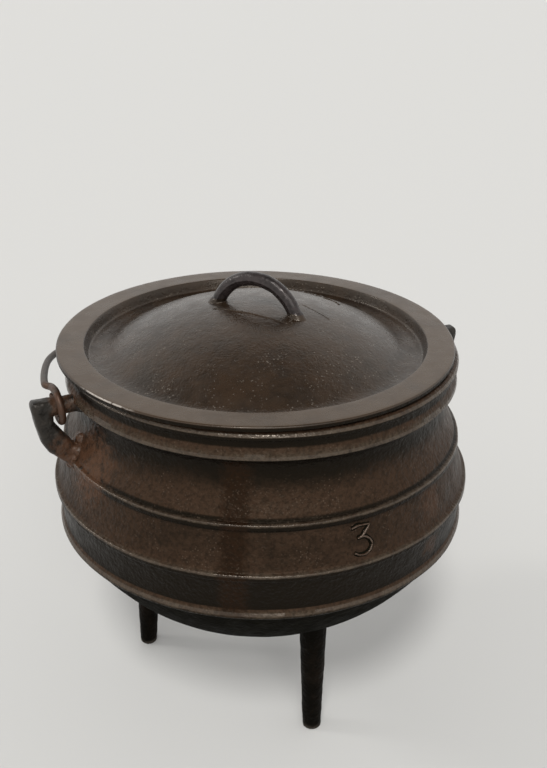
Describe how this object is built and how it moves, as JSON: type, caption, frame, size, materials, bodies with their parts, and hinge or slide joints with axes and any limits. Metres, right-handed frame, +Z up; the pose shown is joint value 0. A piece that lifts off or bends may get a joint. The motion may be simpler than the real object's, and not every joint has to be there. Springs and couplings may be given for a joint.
{
  "type": "three-legged cooking pot",
  "caption": "Round-bellied cast-iron cooking pot on three legs, with a ribbed belly, two cast ears, a domed lid with a handle, and a wire bail folded back.",
  "frame": {"origin": "on the pot's axis, at the floor the three feet stand on", "axes": "+Z up along the pot's axis; the two ears lie along +X and -X; one leg points towards -Y and the bail is folded back towards +Y"},
  "size_m": [0.298, 0.2722, 0.2953],
  "materials": {
    "pot_iron": "oil-seasoned as-cast surface, near black with a brown bloom, satin",
    "lid_iron": "oil-seasoned as-cast surface, olive brown on top of the dome, satin",
    "bail_wire": "drawn steel wire darkened by fire, brown-grey with light rust at the eyes"
  },
  "bodies": {
    "pot": {"pot_bowl": "pot_iron", "left_ear": "pot_iron", "right_ear": "pot_iron", "front_leg": "pot_iron", "left_leg": "pot_iron", "right_leg": "pot_iron"},
    "lid": {"lid_plate": "lid_iron", "lid_handle": "lid_iron"},
    "bail": {"bail": "bail_wire"}
  },
  "joints": [
    {"name": "bail_swing", "type": "hinge", "parent": "pot", "child": "bail", "pos_m": [0, 0, 0.2305], "axis": [1, 0, 0], "range_deg": [-8.5, 200]},
    {"name": "lid_lift", "type": "slide", "parent": "pot", "child": "lid", "axis": [0, 0, 1], "range_m": [0, 0.12]}
  ]
}
